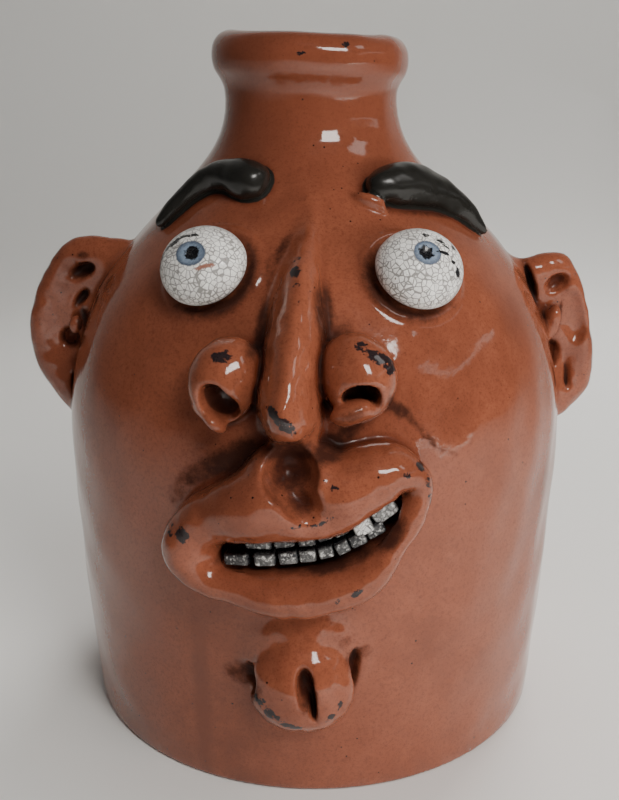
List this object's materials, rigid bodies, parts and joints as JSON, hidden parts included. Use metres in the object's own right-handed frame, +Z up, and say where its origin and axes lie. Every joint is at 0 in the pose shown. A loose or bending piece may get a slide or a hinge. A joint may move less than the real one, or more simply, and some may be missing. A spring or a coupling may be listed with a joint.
{
  "type": "face jug",
  "caption": "Hollow wheel-thrown red earthenware jug with a flared neck and an applied grotesque face of clay, white ball eyes and china teeth; stands on its flat underside.",
  "frame": {"origin": "centre of the underside, on the axis of the thrown body", "axes": "+Z up along the thrown axis, the face looks along -Y, +X to the viewer's right"},
  "size_m": [0.1854, 0.1742, 0.2133],
  "materials": {
    "red_glaze": "glossy clear glaze over red earthenware, with black brows",
    "white_crackle": "glossy white crackle glaze",
    "tooth_crackle": "glossy grey crackle glaze"
  },
  "bodies": {
    "root": {"jug_body": "red_glaze", "eye_left": "white_crackle", "eye_right": "white_crackle", "tooth_upper_1": "tooth_crackle", "tooth_upper_2": "tooth_crackle", "tooth_upper_3": "tooth_crackle", "tooth_upper_4": "tooth_crackle", "tooth_upper_5": "tooth_crackle", "tooth_upper_6": "tooth_crackle", "tooth_upper_7": "tooth_crackle", "tooth_lower_1": "tooth_crackle", "tooth_lower_2": "tooth_crackle", "tooth_lower_3": "tooth_crackle", "tooth_lower_4": "tooth_crackle", "tooth_lower_5": "tooth_crackle", "tooth_lower_6": "tooth_crackle", "tooth_lower_7": "tooth_crackle", "tooth_lower_8": "tooth_crackle"}
  },
  "joints": []
}
